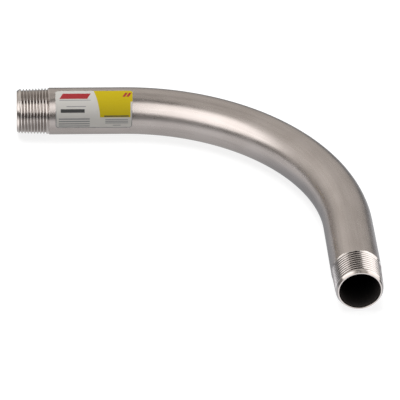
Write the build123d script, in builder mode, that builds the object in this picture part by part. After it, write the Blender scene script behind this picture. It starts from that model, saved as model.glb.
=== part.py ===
from build123d import *

import os
from math import cos, degrees, radians, sin

# A right-angle conduit elbow of stainless steel, lying flat with its bend plane level.
# It is one tube: two straight arms, each with a taper-threaded end, joined by a
# quarter bend. A thin film label is stuck round the front and top of the first arm,
# from just behind its thread to just past the start of the bend.

# Driving dimensions of the tube, in millimetres and degrees
conduit_diameter = 33.4
wall_thickness = 3.4
bend_radius = 146.05
bend_angle = 90.0
straight_length = 76.0

# Driving dimensions of a threaded end: its crests taper by one in sixteen on the
# diameter, from a small step below the tube's surface down to the chamfered nose
thread_length = 22.6
thread_step = 0.25
thread_taper = 1 / 16
nose_chamfer = 1.5
ream_width = 0.5
ream_depth = 0.8

# Driving dimensions of the label
label_height = 30.0
label_thickness = 0.1
label_corner = 2.5
label_thread_gap = 4.7
label_over_bend = 6.2
label_facing = 38.0

# Sizes that follow from them
conduit_radius = conduit_diameter / 2
bore_radius = conduit_radius - wall_thickness
thread_end_radius = conduit_radius - thread_step
mouth_radius = thread_end_radius - thread_length * thread_taper / 2
nose_radius = mouth_radius + nose_chamfer * thread_taper / 2
label_start = thread_length + label_thread_gap

# The origin lies under the middle of the elbow, on the surface that it rests on
leg_length = bend_radius + straight_length
corner = (leg_length - conduit_radius) / 2
bend_centre = Vector(corner - bend_radius, corner - bend_radius, conduit_radius)

# The first arm points to -X and the second follows the bend, to -Y at a right angle
turn = radians(bend_angle)
bend_start = bend_centre + Vector(0, bend_radius, 0)
bend_end = bend_centre + Vector(sin(turn), cos(turn), 0) * bend_radius
first_inward = Vector(1, 0, 0)
second_inward = Vector(-cos(turn), sin(turn), 0)

# Each arm's plane starts at the middle of its mouth, with its x axis into the tube
first_mouth = Plane(bend_start - first_inward * straight_length, first_inward)
second_mouth = Plane(bend_end - second_inward * straight_length, second_inward)

# The bend starts from its section at the end of the first arm
bend_section = Plane(bend_start, z_dir=first_inward)
bend_axis = Axis(bend_centre, (0, 0, -1))

with BuildPart() as elbow:
    # The wall of each arm is turned, from its reamed and chamfered mouth to the bend
    for mouth in (first_mouth, second_mouth):
        with BuildSketch(mouth):
            with BuildLine():
                Polyline(
                    (0, bore_radius + ream_width),
                    (0, nose_radius - nose_chamfer),
                    (nose_chamfer, nose_radius),
                    (thread_length, thread_end_radius),
                    (thread_length + thread_step, conduit_radius),
                    (straight_length, conduit_radius),
                    (straight_length, bore_radius),
                    (ream_depth, bore_radius),
                    close=True,
                )
            make_face()
        revolve(axis=Axis(mouth.origin, mouth.x_dir))
    # The bend is the tube's section turned about the middle of the bend
    with BuildSketch(bend_section):
        Circle(conduit_radius)
        Circle(bore_radius, mode=Mode.SUBTRACT)
    revolve(axis=bend_axis, revolution_arc=bend_angle)

# The film of the label is an arc seen along the tube, and faces forwards and upwards
facing = radians(label_facing)
film_turn = label_over_bend / bend_radius
film_radius = conduit_radius + label_thickness
half_wrap = degrees(label_height / conduit_diameter)
half_chord = film_radius * sin(radians(half_wrap))
corner_reach = half_chord - label_corner

# At each end the film has a plane that looks the way it faces, with its x axis off the end
film_first = first_mouth.origin + first_inward * label_start
film_last_side = Vector(sin(film_turn), cos(film_turn), 0)
film_last = bend_centre + film_last_side * bend_radius
first_facing = Vector(0, -cos(facing), sin(facing))
last_facing = film_last_side * -cos(facing) + Vector(0, 0, sin(facing))
first_end = Plane(film_first, first_inward * -1, first_facing)
last_end = Plane(film_last, Vector(cos(film_turn), -sin(film_turn), 0), last_facing)

with BuildPart() as label:
    with BuildSketch(Plane(bend_start, first_facing, first_inward)) as film_section:
        with BuildLine():
            outside = CenterArc((0, 0), film_radius, -half_wrap, 2 * half_wrap)
            inside = CenterArc((0, 0), conduit_radius, -half_wrap, 2 * half_wrap)
            Line(outside @ 0, inside @ 0)
            Line(outside @ 1, inside @ 1)
        make_face()
    extrude(amount=label_start - straight_length)
    revolve(film_section.sketch, axis=bend_axis, revolution_arc=degrees(film_turn))
    # What lies outside the rounded corners is cut away at both ends
    for end in (first_end, last_end):
        with BuildSketch(end):
            with Locations((0, half_chord), (0, -half_chord)):
                Rectangle(2 * label_corner, 2 * label_corner)
            with Locations((-label_corner, corner_reach), (-label_corner, -corner_reach)):
                Circle(label_corner, mode=Mode.SUBTRACT)
        extrude(amount=conduit_diameter, mode=Mode.SUBTRACT)

elbow.part.label = "elbow"
label.part.label = "label"

os.makedirs("parts", exist_ok=True)
export_step(elbow.part, "parts/elbow.step")
export_step(label.part, "parts/label.step")
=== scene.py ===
from math import cos, pi, radians, sin, tan

import bpy
import numpy as np
from bpy.props import FloatProperty, FloatVectorProperty, IntProperty, PointerProperty
from mathutils import Matrix, Vector


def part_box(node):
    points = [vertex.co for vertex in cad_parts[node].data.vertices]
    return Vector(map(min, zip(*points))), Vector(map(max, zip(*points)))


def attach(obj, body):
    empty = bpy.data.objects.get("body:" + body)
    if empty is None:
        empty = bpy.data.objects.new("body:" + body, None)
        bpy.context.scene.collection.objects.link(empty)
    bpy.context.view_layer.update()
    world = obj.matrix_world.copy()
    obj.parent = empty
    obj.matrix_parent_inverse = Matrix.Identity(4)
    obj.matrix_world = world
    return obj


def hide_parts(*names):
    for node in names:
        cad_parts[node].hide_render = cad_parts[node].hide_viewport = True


bl_info = {
    "name": "Conduit elbow",
    "version": (1, 0, 0),
    "blender": (4, 5, 0),
    "location": "3D View > Sidebar > Elbow",
    "description": "Cut threads, satin finish and a film label for a stainless conduit elbow",
    "category": "Add Mesh",
}

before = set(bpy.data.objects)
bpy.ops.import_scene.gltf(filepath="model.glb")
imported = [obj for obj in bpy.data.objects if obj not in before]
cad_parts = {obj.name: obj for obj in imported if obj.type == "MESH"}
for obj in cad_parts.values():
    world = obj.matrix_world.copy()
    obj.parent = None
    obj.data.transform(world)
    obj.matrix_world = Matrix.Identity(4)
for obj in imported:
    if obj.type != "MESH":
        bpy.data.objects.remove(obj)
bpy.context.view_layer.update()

# The elbow's place comes from its solid: it lies on the floor, centred on the origin,
# with one arm pointing to -X and the other to -Y
ELBOW_LOW, ELBOW_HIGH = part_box("elbow")
CONDUIT_RADIUS = (ELBOW_HIGH.z - ELBOW_LOW.z) / 2
LEG_LENGTH = ELBOW_HIGH.x - ELBOW_LOW.x - CONDUIT_RADIUS
ARM_LINE = ELBOW_HIGH.y - CONDUIT_RADIUS
AXIS_HEIGHT = ELBOW_LOW.z + CONDUIT_RADIUS

MILLIMETRE = 0.001

# Points that lie closer than this are one: in the screw, and where a plane has cut it
SAME_POINT = 1e-6
SAME_CUT_POINT = 2e-5

# The thread's mesh runs past its step by the first length, and the second one is bridged
THREAD_OVERRUN = 0.3 * MILLIMETRE
BRIDGE_LENGTH = 0.4 * MILLIMETRE

# Degrees round an arm: the crests are sharp about the first angle, close to the top of the tube,
# up to the second one away from it, and they are worn past the third
SHARP_MIDDLE, SHARP_WITHIN, WORN_PAST = 86, 27, 37

# The numbers of the elbow's materials
SATIN_SLOT, CUT_SLOT, BORE_SLOT = range(3)

# The film is cut into this many strips along the tube and round it
FILM_STRIPS = 36, 40

# Azimuths in degrees of what the metal sees: 0 is towards -Y and 90 towards +X
SOFTBOX_AZIMUTH = -56
SIDE_SOFTBOX_AZIMUTH = 72
GAP_AZIMUTH = 10

# Tints of the walls, of the lights, and of the floor behind
WARM, WHITE, COOL = (1.0, 0.965, 0.91), (1.0, 1.0, 1.0), (0.95, 0.985, 1.03)


def length(name, description, millimetres):
    """A length kept in metres and given here in millimetres."""
    return FloatProperty(
        name=name,
        description=description,
        default=millimetres * MILLIMETRE,
        min=0.0,
        precision=5,
        unit="LENGTH",
        subtype="DISTANCE",
    )


def paint(name, description, value):
    return FloatVectorProperty(
        name=name, description=description, default=value, size=3, subtype="COLOR", min=0.0, max=1.0
    )


class ElbowTube(bpy.types.PropertyGroup):
    bore_radius: length("Bore radius", "Radius of the duct", 13.3)
    bend_radius: length("Bend radius", "Radius of the bend at the tube's middle", 146.05)
    ream_width: length("Ream width", "How far the reamed edge widens the mouth", 0.5)
    ream_depth: length("Ream depth", "How deep the reamed edge goes", 0.8)
    ring_points: IntProperty(name="Ring points", description="Points round the tube", default=128, min=24)
    bend_steps: IntProperty(name="Bend steps", description="Sections along the bend", default=90, min=12)


class ElbowThread(bpy.types.PropertyGroup):
    pitch: length("Pitch", "Distance from crest to crest", 25.4 / 11.5)
    depth: length("Depth", "Depth of the grooves below the crests", 1.15)
    root_flat: length("Root flat", "Half the width of a groove's bottom", 0.2)
    crest_rounding: length("Crest rounding", "How far the crests' edges are rounded on top", 0.03)
    crest_wear: length("Crest wear", "How much further they are worn round at the sides", 0.27)
    length: length("Length", "Length of the thread", 22.6)
    step: length("Step", "Step from the thread up to the tube's surface", 0.25)
    run_out: length("Run-out", "Length over which the last groove runs out", 1.0)
    run_in: length("Run-in", "Distance from the mouth at which the groove is fully cut", 2.4)
    run_in_length: length("Run-in length", "Length over which the groove deepens up to there", 1.0)
    nose_length: length("Nose length", "Length of the cone at the mouth", 2.0)
    nose_drop: length("Nose drop", "How far the cone falls towards the mouth", 1.25)
    taper: FloatProperty(name="Taper", description="Rise of the diameter along the thread", default=1 / 16)


class ElbowLabel(bpy.types.PropertyGroup):
    start: length("Start", "Distance of the label from the mouth", 27.3)
    length: length("Length", "Length of the label along the tube", 54.9)
    height: length("Height", "Height of the label round the tube", 30.0)
    corner: length("Corner", "Radius of the label's corners", 2.5)
    thickness: length("Thickness", "Thickness of the film", 0.1)
    # Width of the painted shadow that the film's cut edge casts round its lower half
    rim: length("Rim", "Width of the line round the lower edge", 0.6)
    facing: FloatProperty(
        name="Facing", description="How far the label faces upwards", default=radians(38.0), subtype="ANGLE"
    )
    silver: paint("Film", "Colour of the film", (0.5, 0.482, 0.455))
    yellow: paint("Yellow field", "Colour of the field", (0.45, 0.345, 0.004))
    red: paint("Red bar", "Colour of the red bar", (0.3, 0.026, 0.03))
    ink: paint("Ink", "Colour of the dark bars", (0.045, 0.045, 0.045))
    grey: paint("Grey lines", "Colour of the fine lines", (0.22, 0.22, 0.22))


class ElbowFinish(bpy.types.PropertyGroup):
    satin: paint("Satin", "Colour of the drawn and pickled surface", (0.435, 0.397, 0.383))
    satin_dark: paint("Satin in the streaks", "Colour of its darker streaks", (0.385, 0.348, 0.333))
    pit: paint("Pits", "Colour of the small pits", (0.1, 0.085, 0.08))
    speck: paint("Specks", "Colour of the pale specks", (0.75, 0.72, 0.7))
    cut: paint("Cut metal", "Colour of the turned and threaded metal", (0.47, 0.435, 0.42))
    # Painted shade: the cut metal darkens to this colour deep in the grooves
    root: paint("Thread roots", "Colour deep in the grooves", (0.33, 0.295, 0.275))
    bore: paint("Bore", "Colour of the inner wall behind the mouths", (0.085, 0.076, 0.072))
    # Painted shade: the inner wall darkens to this colour over this reach behind each mouth
    bore_deep: paint("Deep bore", "Colour of the inner wall deep in the tube", (0.002, 0.002, 0.002))
    bore_reach: length("Bore reach", "How far behind a mouth its wall is wholly dark", 26.0)


class ElbowStudio(bpy.types.PropertyGroup):
    floor: paint("Floor", "Colour of the floor", (0.86, 0.86, 0.86))
    softbox: FloatProperty(name="Softbox", description="Light of the large softbox", default=1.82)
    side_softbox: FloatProperty(
        name="Side softbox", description="Light of the softbox on the right", default=1.8
    )
    key_power: FloatProperty(name="Key power", description="Power in watts", default=75.0)
    lens: FloatProperty(name="Lens", description="Focal length in millimetres", default=260.957)


# Where things lie along the tube


def mouth_frame(second):
    """The middle of a mouth with the axes of its arm: x runs into the tube and z up."""
    if second:
        origin = Vector((ARM_LINE, ELBOW_LOW.y, AXIS_HEIGHT))
        inward, side = Vector((0, 1, 0)), Vector((-1, 0, 0))
    else:
        origin = Vector((ELBOW_LOW.x, ARM_LINE, AXIS_HEIGHT))
        inward, side = Vector((1, 0, 0)), Vector((0, 1, 0))
    up = inward.cross(side)
    turned = Matrix((inward, side, up)).transposed().to_4x4()
    return Matrix.Translation(origin) @ turned


def bend_centre(tube):
    middle = ARM_LINE - tube.bend_radius
    return Vector((middle, middle, AXIS_HEIGHT))


def straight_length(tube):
    return LEG_LENGTH - tube.bend_radius


def whole_length(tube):
    """Length of the tube's middle line from mouth to mouth."""
    return 2 * straight_length(tube) + tube.bend_radius * pi / 2


def unbend(points, tube):
    """Points as (distance along the tube, outward, up), as if the tube were straight."""
    centre = np.array(bend_centre(tube))
    straight = straight_length(tube)
    x, y, z = (points - centre).T
    first, second = x < 0, y < 0
    angle = np.where(first, 0.0, np.where(second, pi / 2, np.arctan2(x, np.maximum(y, 1e-9))))
    run = straight + angle * tube.bend_radius
    run += np.where(first, x, 0.0) - np.where(second, y, 0.0)
    outward = np.where(first, y, np.where(second, x, np.hypot(x, y))) - tube.bend_radius
    return np.stack([run, outward, z], 1)


def bend_onto(run, outward, up, tube):
    """The opposite of unbend."""
    centre = np.array(bend_centre(tube))
    straight = straight_length(tube)
    quarter = tube.bend_radius * pi / 2
    angle = np.clip((run - straight) / tube.bend_radius, 0, pi / 2)
    beyond = np.minimum(run - straight, 0) + np.maximum(run - straight - quarter, 0)
    out = np.stack([np.sin(angle), np.cos(angle), 0 * angle], 1)
    along = np.stack([np.cos(angle), -np.sin(angle), 0 * angle], 1)
    points = centre + out * (tube.bend_radius + outward)[:, None] + along * beyond[:, None]
    points[:, 2] += up
    return points


# Working on a mesh


def start_afresh():
    if bpy.context.object and bpy.context.object.mode != "OBJECT":
        bpy.ops.object.mode_set(mode="OBJECT")
    bpy.ops.object.select_all(action="DESELECT")


def edit():
    bpy.ops.object.mode_set(mode="EDIT")


def leave_edit():
    bpy.ops.object.mode_set(mode="OBJECT")


def settle(piece):
    """Puts the object at the origin with its place in its mesh."""
    bpy.ops.object.select_all(action="DESELECT")
    piece.select_set(True)
    bpy.context.view_layer.objects.active = piece
    bpy.ops.object.transform_apply(location=True, rotation=True, scale=True)


def read_points(mesh):
    points = np.zeros(len(mesh.vertices) * 3)
    mesh.vertices.foreach_get("co", points)
    return points.reshape(-1, 3)


def write_points(mesh, points):
    mesh.vertices.foreach_set("co", points.astype(np.float32).ravel())
    mesh.update()


def open_edges(mesh):
    """The vertex pairs of the edges that have one face, with the edges' numbers."""
    corners = np.zeros(len(mesh.loops), np.int64)
    mesh.loops.foreach_get("edge_index", corners)
    faces_at = np.bincount(corners, minlength=len(mesh.edges))
    pairs = np.zeros(len(mesh.edges) * 2, np.int64)
    mesh.edges.foreach_get("vertices", pairs)
    numbers = np.where(faces_at == 1)[0]
    return numbers, pairs.reshape(-1, 2)[numbers]


def select_edges(mesh, numbers):
    """Selects these edges and nothing else."""
    chosen = np.zeros(len(mesh.edges), bool)
    chosen[numbers] = True
    mesh.polygons.foreach_set("select", np.zeros(len(mesh.polygons), bool))
    mesh.vertices.foreach_set("select", np.zeros(len(mesh.vertices), bool))
    mesh.edges.foreach_set("select", chosen)
    bpy.context.tool_settings.mesh_select_mode = (False, True, False)


def extrude_ring(move, scale=None):
    """Extrudes the selected ring, which stays selected, and may then scale it about its middle."""
    bpy.ops.mesh.extrude_region_move(TRANSFORM_OT_translate={"value": move})
    if scale:
        bpy.ops.transform.resize(value=scale)


def softened(value, start, end):
    """0 at the start, 1 at the end and smooth between them; the end may be the lower one."""
    share = np.clip((value - start) / (end - start), 0, 1)
    return share * share * (3 - 2 * share)


def apart(angle, middle):
    """Degrees from the middle to the angle, the shorter way round."""
    return (angle - middle + 180) % 360 - 180


def within(angle, middle, edge, full):
    """1 up to `full` degrees from the middle, falling to 0 at the edge."""
    return softened(np.abs(apart(angle, middle)), edge, full)


# The tube


def add_walls(tube, wall_start):
    """Both walls of the tube: the outer one between the threads, the inner one from mouth to mouth."""
    mouth = mouth_frame(False)
    centre = bend_centre(tube)
    straight = straight_length(tube)
    upright = (0, pi / 2, 0)
    bpy.ops.mesh.primitive_circle_add(
        vertices=tube.ring_points,
        radius=CONDUIT_RADIUS,
        location=mouth @ Vector((wall_start, 0, 0)),
        rotation=upright,
    )
    elbow = bpy.context.object
    elbow.name = elbow.data.name = "elbow_metal"
    settle(elbow)
    edit()
    bpy.ops.mesh.select_all(action="SELECT")
    extrude_ring((straight - wall_start, 0, 0))
    bpy.ops.mesh.spin(steps=tube.bend_steps, angle=pi / 2, center=centre, axis=(0, 0, 1))
    extrude_ring((0, wall_start - straight, 0))
    reamed = tube.bore_radius + tube.ream_width
    narrow = tube.bore_radius / reamed
    bpy.ops.mesh.select_all(action="DESELECT")
    bpy.ops.mesh.primitive_circle_add(
        vertices=tube.ring_points,
        radius=reamed,
        location=mouth.translation,
        rotation=upright,
    )
    extrude_ring((tube.ream_depth, 0, 0), (1, narrow, narrow))
    extrude_ring((straight - tube.ream_depth, 0, 0))
    bpy.ops.mesh.spin(steps=tube.bend_steps, angle=pi / 2, center=centre, axis=(0, 0, 1))
    extrude_ring((0, tube.ream_depth - straight, 0))
    extrude_ring((0, -tube.ream_depth, 0), (1 / narrow, 1, 1 / narrow))
    leave_edit()
    return elbow


# The groove's section from one crest to the next: the side that each point lies on, its height
# on the flank, and where it lies on the rounding of the crest's edge, along and down
SECTION_POINTS = 12
SECTION_SIDE = np.array([-1] * 6 + [1] * 6)
SECTION_HEIGHT = np.array([1, 1, 1, 2 / 3, 1 / 3, 0, 0, 1 / 3, 2 / 3, 1, 1, 1])
ROUND_ALONG = np.array([1, 0.134, -0.5, 0, 0, 0, 0, 0, 0, -0.5, 0.134, 1])
ROUND_DOWN = np.array([0, 0.231, 0.866, 0, 0, 0, 0, 0, 0, 0.866, 0.231, 0])


def wind_thread(thread, tube):
    """A line of points a pitch long, wound round the arm into an even screw."""
    turns_before = 2
    turns = int(thread.length / thread.pitch) + 2 * turns_before + 1
    bpy.ops.mesh.primitive_plane_add(size=CONDUIT_RADIUS)
    strip = bpy.context.object
    edit()
    bpy.ops.mesh.select_all(action="SELECT")
    bpy.ops.mesh.merge(type="CENTER")
    bpy.ops.transform.translate(value=(-turns_before * thread.pitch, CONDUIT_RADIUS, 0))
    for _ in range(SECTION_POINTS):
        extrude_ring((thread.pitch / SECTION_POINTS, 0, 0))
    leave_edit()
    bpy.ops.object.modifier_add(type="SCREW")
    screw = strip.modifiers[-1]
    screw.axis = "X"
    screw.steps = screw.render_steps = tube.ring_points
    screw.iterations = turns
    screw.screw_offset = thread.pitch
    bpy.ops.object.modifier_apply(modifier=screw.name)
    return strip


def crest_cone(along, thread):
    """Radius over the crests, up to the step at the end of the thread and the tube beyond it."""
    end_radius = CONDUIT_RADIUS - thread.step
    cone = end_radius - (thread.length - along) * thread.taper / 2
    risen = end_radius + np.maximum(along - thread.length, 0)
    return np.minimum(np.where(along < thread.length, cone, risen), CONDUIT_RADIUS)


def groove_depth(along, thread):
    """Depth of the groove below the crests: it starts on the nose and runs out at the far end."""
    started = softened(along, thread.run_in - thread.run_in_length, thread.run_in)
    return thread.depth * started * np.clip((thread.length - along) / thread.run_out, 0, 1)


def cut_thread(strip, thread):
    """Moves each point of the even screw to its place on the groove's true section."""
    points = read_points(strip.data)
    angle = np.arctan2(points[:, 2], points[:, 1])
    turn = angle / (2 * pi)
    count = (points[:, 0] / thread.pitch - turn) * SECTION_POINTS
    number = np.rint(count).astype(int)
    if np.abs(count - number).max() > 0.1:
        raise RuntimeError("the screw is wound the wrong way for a right-hand thread")
    groove, part = np.divmod(number, SECTION_POINTS)
    middle = (groove + 0.5 + turn) * thread.pitch
    side, height = SECTION_SIDE[part], SECTION_HEIGHT[part]
    depth = groove_depth(middle, thread)
    worn = 1 - within(np.degrees(angle), SHARP_MIDDLE, WORN_PAST, SHARP_WITHIN)
    rounding = (thread.crest_rounding + thread.crest_wear * worn) * depth / thread.depth
    reach = thread.root_flat + height * thread.depth * tan(radians(30)) + ROUND_ALONG[part] * rounding
    along = middle + side * reach
    radius = crest_cone(along, thread) - (1 - height) * depth - ROUND_DOWN[part] * rounding
    slope = thread.nose_drop / thread.nose_length
    nose = crest_cone(thread.nose_length, thread) - (thread.nose_length - along) * slope
    radius = np.minimum(radius, np.maximum(nose, CONDUIT_RADIUS / 2))
    write_points(strip.data, np.stack([along, radius * np.cos(angle), radius * np.sin(angle)], 1))


def trim_thread(strip, end):
    """Joins the turns, then cuts the thread square at the mouth and where it meets the plain tube."""
    edit()
    bpy.ops.mesh.select_all(action="SELECT")
    bpy.ops.mesh.remove_doubles(threshold=SAME_POINT)
    for place, cut_inner in ((0.0, True), (end, False)):
        bpy.ops.mesh.select_all(action="SELECT")
        bpy.ops.mesh.bisect(
            plane_co=(place, 0, 0),
            plane_no=(1, 0, 0),
            clear_inner=cut_inner,
            clear_outer=not cut_inner,
            threshold=SAME_POINT / 10,
        )
        bpy.ops.mesh.remove_doubles(threshold=SAME_CUT_POINT)
    leave_edit()


def find_rims(mesh, arm_points, places):
    """The numbers of the open edges that lie at these distances along an arm."""
    numbers, pairs = open_edges(mesh)
    near = np.zeros(len(numbers), bool)
    for place in places:
        at_place = np.abs(arm_points[:, 0] - place) < SAME_CUT_POINT
        near |= at_place[pairs].all(1)
    return numbers[near]


def join_rims(elbow, second, places):
    """Joins two rims of an arm: by a bridge where one lies behind the other, and by a flat ring
    where one lies inside the other at the same place."""
    points = read_points(elbow.data)
    into_arm = np.array(mouth_frame(second).inverted())
    arm_points = points @ into_arm[:3, :3].T + into_arm[:3, 3]
    other_arm = np.hypot(arm_points[:, 1], arm_points[:, 2]) > 1.5 * CONDUIT_RADIUS
    arm_points[other_arm, 0] = 2 * LEG_LENGTH
    select_edges(elbow.data, find_rims(elbow.data, arm_points, places))
    edit()
    if len(places) == 1:
        bpy.ops.mesh.fill()
    else:
        bpy.ops.mesh.bridge_edge_loops()
    leave_edit()


def mouth_open(elbow, second, reach):
    """Looks straight into an arm's mouth, to this distance behind it."""
    mouth = mouth_frame(second)
    inward = mouth.col[0].xyz
    return not elbow.ray_cast(mouth.translation - inward * reach, inward, distance=2 * reach)[0]


def add_elbow():
    scene = bpy.context.scene
    tube, thread = scene.elbow_tube, scene.elbow_thread
    thread_end = thread.length + thread.step + THREAD_OVERRUN
    wall_start = thread_end + BRIDGE_LENGTH
    start_afresh()
    strip = wind_thread(thread, tube)
    cut_thread(strip, thread)
    trim_thread(strip, thread_end)
    bpy.ops.object.select_all(action="DESELECT")
    strip.select_set(True)
    bpy.ops.object.duplicate()
    other = bpy.context.object
    for piece, second in ((strip, False), (other, True)):
        piece.matrix_world = mouth_frame(second)
        settle(piece)
    bpy.ops.object.select_all(action="DESELECT")
    elbow = add_walls(tube, wall_start)
    for piece in (strip, other):
        piece.select_set(True)
    bpy.context.view_layer.objects.active = elbow
    bpy.ops.object.join()
    for second in (False, True):
        join_rims(elbow, second, (thread_end, wall_start))
        join_rims(elbow, second, (0.0,))
    edit()
    bpy.ops.mesh.select_all(action="SELECT")
    bpy.ops.mesh.normals_make_consistent(inside=False)
    leave_edit()
    if len(open_edges(elbow.data)[0]):
        raise RuntimeError("the elbow's wall isn't closed")
    if not all(mouth_open(elbow, second, thread.length) for second in (False, True)):
        raise RuntimeError("a mouth of the elbow is closed")
    bpy.ops.object.shade_smooth_by_angle(angle=radians(35))
    note_surface(elbow, tube, thread)
    return elbow


def note_surface(elbow, tube, thread):
    """Keeps each point's place on the straightened tube and its depth in the thread."""
    mesh = elbow.data
    run = unbend(read_points(mesh), tube)
    radius = np.hypot(run[:, 1], run[:, 2])
    whole = whole_length(tube)
    from_mouth = np.minimum(run[:, 0], whole - run[:, 0])
    depth = np.clip((crest_cone(from_mouth, thread) - radius) / thread.depth, 0, 1)
    mesh.attributes.new("tube_run", "FLOAT_VECTOR", "POINT").data.foreach_set(
        "vector", run.astype(np.float32).ravel()
    )
    mesh.attributes.new("groove_depth", "FLOAT", "POINT").data.foreach_set(
        "value", depth.astype(np.float32)
    )
    middles = np.zeros(len(mesh.polygons) * 3)
    mesh.polygons.foreach_get("center", middles)
    face_run = unbend(middles.reshape(-1, 3), tube)
    face_radius = np.hypot(face_run[:, 1], face_run[:, 2])
    face_from_mouth = np.minimum(face_run[:, 0], whole - face_run[:, 0])
    slots = np.full(len(mesh.polygons), SATIN_SLOT, np.int32)
    slots[face_from_mouth < thread.length + thread.step] = CUT_SLOT
    # The reamed edge widens from the bore and stays cut metal
    slots[face_radius < tube.bore_radius + tube.ream_width / 8] = BORE_SLOT
    mesh.polygons.foreach_set("material_index", slots)


# Materials


class Shader:
    """A material's nodes, with short ways to add and join them."""

    def __init__(self, name):
        self.material = bpy.data.materials.new(name)
        self.material.use_nodes = True
        self.nodes = self.material.node_tree.nodes
        self.links = self.material.node_tree.links
        self.surface = self.nodes["Principled BSDF"]

    def add(self, kind, inputs=(), **settings):
        node = self.nodes.new(kind)
        for key, value in settings.items():
            setattr(node, key, value)
        for key, value in dict(inputs).items():
            self.put(value, node.inputs[key])
        return node

    def put(self, value, socket):
        if isinstance(value, bpy.types.NodeSocket):
            self.links.new(value, socket)
        else:
            socket.default_value = value

    def math(self, operation, *values):
        node = self.add("ShaderNodeMath", operation=operation)
        for value, socket in zip(values, node.inputs):
            self.put(value, socket)
        return node.outputs[0]

    def mix(self, share, first, second):
        node = self.add("ShaderNodeMix", data_type="RGBA")
        self.put(share, node.inputs["Factor"])
        self.put(first, node.inputs["A"])
        self.put(second, node.inputs["B"])
        return node.outputs["Result"]

    def spread(self, value, low, high, new_low, new_high):
        node = self.add("ShaderNodeMapRange", {"Value": value}, clamp=True)
        for key, number in (
            ("From Min", low),
            ("From Max", high),
            ("To Min", new_low),
            ("To Max", new_high),
        ):
            self.put(number, node.inputs[key])
        return node.outputs["Result"]

    def noise(self, vector, scale, detail=3.0, roughness=0.5):
        node = self.add(
            "ShaderNodeTexNoise",
            {"Vector": vector, "Scale": scale, "Detail": detail, "Roughness": roughness},
        )
        return node.outputs["Fac"]

    def stretched(self, vector, scale):
        node = self.add("ShaderNodeMapping", {"Vector": vector, "Scale": scale})
        return node.outputs["Vector"]

    def spots(self, vector, scale, radius):
        """1 inside scattered small spots: one in some of the cells, of differing size."""
        cells = self.add("ShaderNodeTexVoronoi", {"Vector": vector, "Scale": scale})
        kept = self.add("ShaderNodeSeparateColor", {"Color": cells.outputs["Color"]})
        size = self.math("MULTIPLY", kept.outputs["Green"], radius)
        inside = self.math("LESS_THAN", cells.outputs["Distance"], size)
        return self.math("MULTIPLY", inside, self.math("GREATER_THAN", kept.outputs["Red"], 0.55))

    def attribute(self, name, output="Vector"):
        return self.add("ShaderNodeAttribute", attribute_name=name).outputs[output]

    def bump(self, height, strength, distance):
        node = self.add("ShaderNodeBump", {"Height": height, "Strength": strength, "Distance": distance})
        self.put(node.outputs["Normal"], self.surface.inputs["Normal"])

    def glow(self, colour, strength=1.0):
        node = self.add("ShaderNodeEmission", {"Color": colour, "Strength": strength})
        return node.outputs["Emission"]

    def show(self, output):
        """Shows this in place of the surface."""
        self.links.new(output, self.nodes["Material Output"].inputs["Surface"])

    def finish(self, **inputs):
        for key, value in inputs.items():
            self.put(value, self.surface.inputs[key.replace("_", " ")])
        return self.material


def opaque(colour):
    return (*colour, 1.0)


def glowing(name, colour=None):
    """A material that only glows: in this colour, or in the light stored on its mesh."""
    shade = Shader(name)
    shade.show(shade.glow(opaque(colour) if colour else shade.attribute("light", "Color")))
    return shade.material


def satin_stainless(finish):
    """Drawn and pickled tube: fine streaks along it, faint clouds, and a few pits and pale specks."""
    shade = Shader("satin_stainless")
    run = shade.attribute("tube_run")
    drawn = shade.noise(shade.stretched(run, (0.03, 1.0, 1.0)), scale=700.0, roughness=0.55)
    mottle = shade.noise(shade.stretched(run, (0.3, 1.0, 1.0)), scale=170.0, roughness=0.55)
    cloud = shade.noise(run, scale=45.0, detail=2.0)
    share = shade.math("ADD", shade.math("MULTIPLY", drawn, 0.35), shade.math("MULTIPLY", cloud, 0.35))
    share = shade.math("ADD", share, shade.math("MULTIPLY", mottle, 0.3))
    colour = shade.mix(
        shade.spread(share, 0.4, 0.6, 0.0, 1.0), opaque(finish.satin_dark), opaque(finish.satin)
    )
    pits = shade.spots(run, scale=75.0, radius=0.035)
    specks = shade.spots(run, scale=60.0, radius=0.04)
    colour = shade.mix(shade.math("MULTIPLY", pits, 0.45), colour, opaque(finish.pit))
    colour = shade.mix(shade.math("MULTIPLY", specks, 0.4), colour, opaque(finish.speck))
    roughness = shade.spread(mottle, 0.3, 0.7, 0.24, 0.31)
    height = shade.math("ADD", shade.math("MULTIPLY", mottle, 0.5), shade.math("MULTIPLY", drawn, 0.5))
    height = shade.math("SUBTRACT", height, shade.math("MULTIPLY", pits, 0.6))
    shade.bump(height, strength=0.07, distance=0.3 * MILLIMETRE)
    shade.surface.inputs["Specular Tint"].default_value = (0.7, 0.7, 0.7, 1.0)
    return shade.finish(Base_Color=colour, Metallic=1.0, Roughness=roughness)


def cut_stainless(finish):
    """Turned metal with fine rings round the tube, and painted shade that darkens it deep in the grooves.
    """
    shade = Shader("cut_stainless")
    run = shade.attribute("tube_run")
    depth = shade.attribute("groove_depth", "Fac")
    turned = shade.noise(shade.stretched(run, (1.0, 0.08, 0.08)), scale=2600.0, detail=2.0)
    # Painted shade: the colour darkens towards the roots of the grooves
    dirt = shade.spread(depth, 0.25, 0.95, 0.0, 1.0)
    colour = shade.mix(dirt, opaque(finish.cut), opaque(finish.root))
    roughness = shade.spread(turned, 0.3, 0.7, 0.12, 0.2)
    shade.bump(turned, strength=0.08, distance=0.2 * MILLIMETRE)
    return shade.finish(Base_Color=colour, Metallic=1.0, Roughness=roughness)


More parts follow.
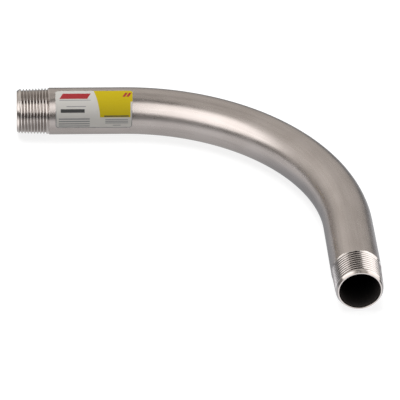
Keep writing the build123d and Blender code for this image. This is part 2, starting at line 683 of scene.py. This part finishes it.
def bore_wall(finish, whole):
    """The untouched inner wall: dark behind the mouths, with painted shade that darkens it to black further
    in.
    """
    shade = Shader("bore_wall")
    run = shade.add("ShaderNodeSeparateXYZ", {"Vector": shade.attribute("tube_run")}).outputs["X"]
    off_middle = shade.math("ABSOLUTE", shade.math("SUBTRACT", run, whole / 2))
    from_mouth = shade.math("SUBTRACT", whole / 2, off_middle)
    # Painted shade: the wall darkens with its distance behind the nearer mouth
    deep = shade.spread(from_mouth, 0.0, finish.bore_reach, 0.0, 1.0)
    colour = shade.mix(shade.math("POWER", deep, 0.5), opaque(finish.bore), opaque(finish.bore_deep))
    shade.surface.inputs["Specular IOR Level"].default_value = 0.0
    return shade.finish(Base_Color=colour, Roughness=0.7)


def printed_film(label):
    """Silver film with a yellow field, plain bars and fine lines, laid out on its own map."""
    shade = Shader("printed_film")
    place = shade.add("ShaderNodeUVMap", uv_map="print").outputs["UV"]
    place = shade.add("ShaderNodeSeparateXYZ", {"Vector": place})
    across, up = place.outputs["X"], place.outputs["Y"]

    # The print is laid out in shares of the film: left, right, low and high
    def between(value, low, high):
        return shade.math("COMPARE", value, (low + high) / 2, (high - low) / 2)

    def bar(left, right, low, high):
        return shade.math("MULTIPLY", between(across, left, right), between(up, low, high))

    def lines(left, right, low, high, rows):
        rises = shade.math("MULTIPLY", shade.math("SUBTRACT", up, low), rows / (high - low))
        inked = between(shade.math("FRACT", rises), 0.23, 0.77)
        return shade.math("MULTIPLY", bar(left, right, low, high), inked)

    def slanted(left, right, low, high, lean=0.3):
        leaning = shade.math("MULTIPLY", shade.math("SUBTRACT", up, low), lean)
        inside = between(shade.math("SUBTRACT", across, leaning), left, right)
        return shade.math("MULTIPLY", inside, between(up, low, high))

    def past_corner(share, size):
        """How far a point lies past the middles of the rounded corners, in metres."""
        off_middle = shade.math("ABSOLUTE", shade.math("SUBTRACT", share, 0.5))
        past = shade.math("SUBTRACT", shade.math("MULTIPLY", off_middle, size), size / 2 - label.corner)
        return shade.math("POWER", shade.math("MAXIMUM", past, 0.0), 2.0)

    # Painted shadow of the film's cut edge: a grey line round the lower half of its outline
    reach = shade.math(
        "SQRT", shade.math("ADD", past_corner(across, label.length), past_corner(up, label.height))
    )
    rim = shade.math("GREATER_THAN", reach, label.corner - label.rim)
    rim = shade.math("MULTIPLY", rim, shade.math("LESS_THAN", up, 0.45))
    # The yellow field's left side is a curve, and its lower right corner is cut out
    raised = shade.math("MAXIMUM", shade.math("SUBTRACT", up, 0.28), 0.0)
    curve = shade.math("SUBTRACT", 0.573, shade.math("MULTIPLY", shade.math("POWER", raised, 1.5), 0.13))
    field = shade.math("MULTIPLY", shade.math("GREATER_THAN", across, curve), bar(0.3, 0.975, 0.285, 1.1))
    field = shade.math("MAXIMUM", field, bar(0.9, 1.1, 0.66, 1.1))
    colour = shade.mix(field, opaque(label.silver), opaque(label.yellow))
    for mask, ink in (
        (slanted(0.05, 0.41, 0.74, 0.9), label.red),
        (bar(0.05, 0.455, 0.695, 0.712), label.grey),
        (bar(0.14, 0.39, 0.538, 0.556), label.grey),
        (bar(0.065, 0.375, 0.4, 0.485), label.ink),
        (lines(0.04, 0.44, 0.03, 0.28, 4), label.grey),
        (slanted(0.865, 0.9, 0.79, 0.92), label.red),
        (slanted(0.915, 0.95, 0.79, 0.92), label.red),
        (bar(0.625, 0.95, 0.3, 0.33), label.ink),
        (lines(0.64, 0.94, 0.12, 0.25, 3), label.grey),
        (bar(0.74, 0.84, 0.065, 0.085), label.grey),
        (rim, label.grey),
    ):
        colour = shade.mix(mask, colour, opaque(ink))
    ripple = shade.noise(across, scale=9.0, detail=2.0)
    roughness = shade.spread(ripple, 0.3, 0.7, 0.42, 0.5)
    shade.surface.inputs["Specular IOR Level"].default_value = 0.1
    return shade.finish(Base_Color=colour, Roughness=roughness)


def add_label():
    """A flat film with rounded corners, cut into strips, thickened and wrapped round the arm."""
    scene = bpy.context.scene
    tube, label = scene.elbow_tube, scene.elbow_label
    start_afresh()
    bpy.ops.mesh.primitive_plane_add(size=1.0)
    film = bpy.context.object
    film.name = film.data.name = "label_film"
    film.scale = (label.length, label.height, 1.0)
    settle(film)
    edit()
    bpy.ops.mesh.select_all(action="SELECT")
    bpy.ops.mesh.bevel(offset=label.corner, segments=8, affect="VERTICES")
    for axis, size, strips in zip((0, 1), (label.length, label.height), FILM_STRIPS):
        square = Vector.Fill(3)
        square[axis] = 1.0
        for cut in range(1, strips):
            place = square * (size * (cut / strips - 0.5))
            bpy.ops.mesh.select_all(action="SELECT")
            bpy.ops.mesh.bisect(plane_co=place, plane_no=square, threshold=SAME_POINT)
    bpy.ops.mesh.select_all(action="SELECT")
    bpy.ops.mesh.extrude_region_move(TRANSFORM_OT_translate={"value": (0, 0, label.thickness)})
    bpy.ops.mesh.select_all(action="SELECT")
    bpy.ops.mesh.normals_make_consistent(inside=False)
    leave_edit()
    flat = read_points(film.data)
    corner_flat = flat[[loop.vertex_index for loop in film.data.loops]]
    shares = corner_flat[:, :2] / (label.length, label.height) + 0.5
    film.data.uv_layers.new(name="print").data.foreach_set("uv", shares.astype(np.float32).ravel())
    radius = CONDUIT_RADIUS + flat[:, 2]
    rise = flat[:, 1] / CONDUIT_RADIUS + label.facing
    run = label.start + label.length / 2 + flat[:, 0]
    write_points(film.data, bend_onto(run, -radius * np.cos(rise), radius * np.sin(rise), tube))
    edit()
    bpy.ops.mesh.select_all(action="SELECT")
    bpy.ops.mesh.normals_make_consistent(inside=False)
    leave_edit()
    bpy.ops.object.shade_smooth_by_angle(angle=radians(40))
    film.data.materials.append(printed_film(label))
    return film


# The studio


def ray_share(tree, *names):
    """1 for rays of these kinds, else 0."""
    path = tree.nodes.new("ShaderNodeLightPath")
    total = None
    for name in names:
        if total is None:
            total = path.outputs[name]
            continue
        node = tree.nodes.new("ShaderNodeMath")
        node.operation = "MAXIMUM"
        tree.links.new(total, node.inputs[0])
        tree.links.new(path.outputs[name], node.inputs[1])
        total = node.outputs[0]
    return total


def light_world():
    world = bpy.data.worlds.new("studio_air")
    bpy.context.scene.world = world
    world.use_nodes = True
    tree = world.node_tree
    air = tree.nodes["Background"]
    air.inputs["Color"].default_value = opaque((0.3, 0.3, 0.3))
    seen = tree.nodes.new("ShaderNodeBackground")
    seen.inputs["Color"].default_value = opaque(WHITE)
    mix = tree.nodes.new("ShaderNodeMixShader")
    tree.links.new(
        ray_share(tree, "Is Camera Ray", "Is Glossy Ray", "Is Transmission Ray"), mix.inputs[0]
    )
    tree.links.new(air.outputs[0], mix.inputs[1])
    tree.links.new(seen.outputs[0], mix.inputs[2])
    tree.links.new(mix.outputs[0], tree.nodes["World Output"].inputs["Surface"])


def floor_material(studio):
    """White to the camera with a soft shadow, and to the metal a painted glow of the light stored on the
    floor, which fades far off.
    """
    shade = Shader("pale_floor")
    tree = shade.material.node_tree
    place = shade.add("ShaderNodeTexCoord").outputs["Object"]
    grain = shade.noise(place, scale=3.0, detail=2.0)
    shade.finish(Base_Color=opaque(studio.floor), Roughness=shade.spread(grain, 0.0, 1.0, 0.85, 0.95))
    shade.surface.inputs["Specular IOR Level"].default_value = 0.0
    seen = shade.math("MULTIPLY", ray_share(tree, "Is Camera Ray", "Is Transmission Ray"), 0.68)
    mirrored = ray_share(tree, "Is Glossy Ray")
    shown = shade.surface.outputs[0]
    for share, colour, strength in (
        (seen, opaque(WHITE), 1.2),
        (mirrored, shade.attribute("light", "Color"), 1.0),
    ):
        glow = shade.glow(colour, strength)
        shown = shade.add("ShaderNodeMixShader", {0: share, 1: shown, 2: glow}).outputs[0]
    shade.show(shown)
    return shade.material


def add_key_lamp(power):
    """A large soft lamp overhead and behind, which the metal doesn't see."""
    bpy.ops.object.light_add(type="AREA", location=(-0.3, 0.35, 2.6))
    lamp = bpy.context.object
    lamp.name = "key"
    lamp.data.shape = "RECTANGLE"
    lamp.data.size, lamp.data.size_y = 2.4, 1.6
    lamp.data.energy = power
    lamp.rotation_mode = "QUATERNION"
    lamp.rotation_quaternion = (-lamp.location).to_track_quat("-Z", "Y")
    lamp.visible_glossy = lamp.visible_camera = False


def tinted(light, colour):
    return light[:, None] * np.array(colour)


def room_light(points, studio):
    """What the metal sees of the room in each direction: pale walls that darken towards the
    horizon and overhead, a large softbox in front on the left and another one on the right."""
    x, y, z = points.T
    azimuth = np.degrees(np.arctan2(x, -y))
    height = np.degrees(np.arctan2(z, np.hypot(x, y)))
    left = within(azimuth, -150, 50, 20)
    walls = 0.42 + 0.4 * softened(height, 3 - 3 * left, 23 - 6 * left)
    walls += (0.86 - walls) * 0.9 * within(azimuth, 175, 45, 20)
    walls += 0.2 * within(azimuth, -143, 36, 10) * within(height, 34, 22, 8)
    walls -= 0.06 * within(azimuth, 135, 30, 15)
    # The large softbox: its lower edge is a shallow bowl and its upper edge rises to the right
    off = apart(azimuth, SOFTBOX_AZIMUTH)
    low, high = 12.5 + 0.0042 * off**2, 65.5 + 0.1 * off + 8 * softened(off, 30, 52)
    softbox = softened(height, low - 4, low + 5) * softened(height, high + 6, high - 5)
    softbox *= 0.88 * softened(off, -52, -22) + 0.12 * softened(off, -80, -50)
    softbox *= softened(off, 68, 52) * (1 - 0.15 * softened(off, 0, 50))
    # The walls are darker below the large softbox, between the two, overhead and at a seam behind
    walls += (0.24 - walls) * within(azimuth, -34, 68, 44) * softened(height, low + 5, low - 3)
    gap = within(azimuth, GAP_AZIMUTH, 12, 5) * softened(height, 54, 38) * softened(height, -1, 4)
    overhead = softened(height, 73, 79) * within(azimuth, -20, 105, 60)
    overhead = np.maximum(overhead, softened(height, 80, 86))
    seam = within(azimuth, 180, 9, 4) * softened(height, 43, 55)
    walls *= (1 - 0.85 * gap) * (1 - 0.9 * overhead) * (1 - 0.4 * seam)
    side = within(azimuth, SIDE_SOFTBOX_AZIMUTH, 60, 53) * within(height, 16, 42, 32)
    lamps = (studio.softbox * softbox + studio.side_softbox * side) * (1 - gap)
    return tinted(walls, WARM) + tinted(lamps, WHITE)


def floor_light(points, tube):
    """What the metal sees of the floor: brightest before the mouths, bright in front of the
    first arm, less so beside the second one and behind, in shade close to the tube and fading
    far off. Lengths are in millimetres."""
    # A painted pool of light, with painted shade close to the tube, which the floor shows to the metal as a
    # glow
    run, outward, _ = unbend(points, tube).T / MILLIMETRE
    away, inside = np.abs(outward), outward < 0
    beside = softened(run, 150, 230)
    near, far = np.where(inside, 1.08 - 0.3 * beside, 0.92), 0.28
    fade = np.exp(-((np.maximum(away - 40, 0) / (100 - 50 * beside)) ** 2))
    light = (far + (near - far) * fade) * (1 - 0.25 * softened(away, 45, 20))
    mouth = 2.2
    x, y, _ = (points - (ARM_LINE, ELBOW_LOW.y, 0)).T / MILLIMETRE
    before = softened(y, 14, -10) * softened(x, -80, -45) * softened(np.hypot(x, y), 140, 70)
    light += (mouth - light) * before
    x, y, _ = (points - (ELBOW_LOW.x, ARM_LINE, 0)).T / MILLIMETRE
    light += (mouth - light) * softened(x, -4, -18) * softened(np.hypot(x, y), 90, 45)
    cool = np.where(inside, beside, 1.0)[:, None]
    return tinted(light, WHITE) * (1 - cool) + tinted(light, COOL) * cool


def keep_light(mesh, light):
    """Stores each point's light on the mesh."""
    colours = np.concatenate([light, np.ones((len(light), 1))], 1).astype(np.float32)
    mesh.attributes.new("light", "FLOAT_COLOR", "POINT").data.foreach_set("color", colours.ravel())


def add_floor(studio, tube):
    """A fine square of floor round the elbow with a wide border."""
    bpy.ops.mesh.primitive_grid_add(x_subdivisions=160, y_subdivisions=160, size=1.2)
    floor = bpy.context.object
    floor.name = floor.data.name = "pale_floor"
    border = open_edges(floor.data)[0]
    select_edges(floor.data, border)
    edit()
    extrude_ring((0, 0, 0), (12, 12, 1))
    leave_edit()
    keep_light(floor.data, floor_light(read_points(floor.data), tube))
    floor.data.materials.append(floor_material(studio))
    return floor


def show_to_metal_only(piece):
    for ray in ("camera", "diffuse", "shadow", "transmission"):
        setattr(piece, "visible_" + ray, False)


def add_room(studio):
    """The room round the elbow, which only the metal sees."""
    bpy.ops.mesh.primitive_uv_sphere_add(segments=180, ring_count=150, radius=3.0)
    room = bpy.context.object
    room.name = room.data.name = "studio_room"
    edit()
    bpy.ops.mesh.select_all(action="SELECT")
    bpy.ops.mesh.bisect(plane_co=(0, 0, -0.02), plane_no=(0, 0, 1), clear_inner=True)
    leave_edit()
    keep_light(room.data, room_light(read_points(room.data), studio))
    room.data.materials.append(glowing("studio_room"))
    show_to_metal_only(room)
    return room


def add_dark_card():
    """A dark card in front of the near mouth, which only the metal sees."""
    bpy.ops.mesh.primitive_plane_add(size=1.0, location=(0.088, -0.37, 0.125), rotation=(pi / 2, 0, 0))
    card = bpy.context.object
    card.name = card.data.name = "dark_card"
    card.scale = (0.2, 0.25, 1.0)
    settle(card)
    card.data.materials.append(glowing("dark_card", (0.02, 0.02, 0.02)))
    show_to_metal_only(card)
    return card


def add_camera(lens):
    """The photograph's view."""
    bpy.ops.object.camera_add(
        location=(-0.131434, -1.644848, 1.126581),
        rotation=(radians(55.87130), radians(-1.79163), radians(-3.53934)),
    )
    camera = bpy.context.object
    camera.name = "camera"
    camera.data.sensor_width = 36.0
    camera.data.lens = lens
    camera.data.clip_end = 100.0
    return camera


def add_studio():
    scene = bpy.context.scene
    studio = scene.elbow_studio
    scene.view_settings.view_transform = "Standard"
    light_world()
    start_afresh()
    add_floor(studio, scene.elbow_tube)
    add_room(studio)
    add_dark_card()
    add_key_lamp(studio.key_power)
    scene.camera = add_camera(studio.lens)


# Operators and panel


class MESH_OT_elbow_metal(bpy.types.Operator):
    """Build the elbow's tube with its cut threads and finishes"""

    bl_idname = "mesh.elbow_metal"
    bl_label = "Elbow"

    def execute(self, context):
        finish = context.scene.elbow_finish
        elbow = add_elbow()
        whole = whole_length(context.scene.elbow_tube)
        for material in (satin_stainless(finish), cut_stainless(finish), bore_wall(finish, whole)):
            elbow.data.materials.append(material)
        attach(elbow, "root")
        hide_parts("elbow")
        return {"FINISHED"}


class MESH_OT_elbow_label(bpy.types.Operator):
    """Build the film label on the first arm"""

    bl_idname = "mesh.elbow_label"
    bl_label = "Label"

    def execute(self, context):
        film = add_label()
        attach(film, "root")
        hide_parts("label")
        return {"FINISHED"}


class SCENE_OT_elbow_studio(bpy.types.Operator):
    """Set up the floor, the lights and the camera"""

    bl_idname = "scene.elbow_studio"
    bl_label = "Studio"

    def execute(self, context):
        add_studio()
        return {"FINISHED"}


class VIEW3D_PT_elbow(bpy.types.Panel):
    bl_label = "Conduit elbow"
    bl_idname = "VIEW3D_PT_elbow"
    bl_space_type = "VIEW_3D"
    bl_region_type = "UI"
    bl_category = "Elbow"

    def draw(self, context):
        for group, operator in (
            (("elbow_tube", "elbow_thread", "elbow_finish"), "mesh.elbow_metal"),
            (("elbow_label",), "mesh.elbow_label"),
            (("elbow_studio",), "scene.elbow_studio"),
        ):
            box = self.layout.box()
            for name in group:
                settings = getattr(context.scene, name)
                for key in settings.bl_rna.properties.keys():
                    if key not in ("rna_type", "name"):
                        box.prop(settings, key)
            box.operator(operator)


GROUPS = {
    "elbow_tube": ElbowTube,
    "elbow_thread": ElbowThread,
    "elbow_label": ElbowLabel,
    "elbow_finish": ElbowFinish,
    "elbow_studio": ElbowStudio,
}
CLASSES = (MESH_OT_elbow_metal, MESH_OT_elbow_label, SCENE_OT_elbow_studio, VIEW3D_PT_elbow)


def register():
    for name, group in GROUPS.items():
        bpy.utils.register_class(group)
        setattr(bpy.types.Scene, name, PointerProperty(type=group))
    for cls in CLASSES:
        bpy.utils.register_class(cls)


def unregister():
    for cls in reversed(CLASSES):
        bpy.utils.unregister_class(cls)
    for name, group in reversed(GROUPS.items()):
        delattr(bpy.types.Scene, name)
        bpy.utils.unregister_class(group)


def main():
    register()
    bpy.ops.mesh.elbow_metal()
    bpy.ops.mesh.elbow_label()
    bpy.ops.scene.elbow_studio()


if __name__ == "__main__":
    main()
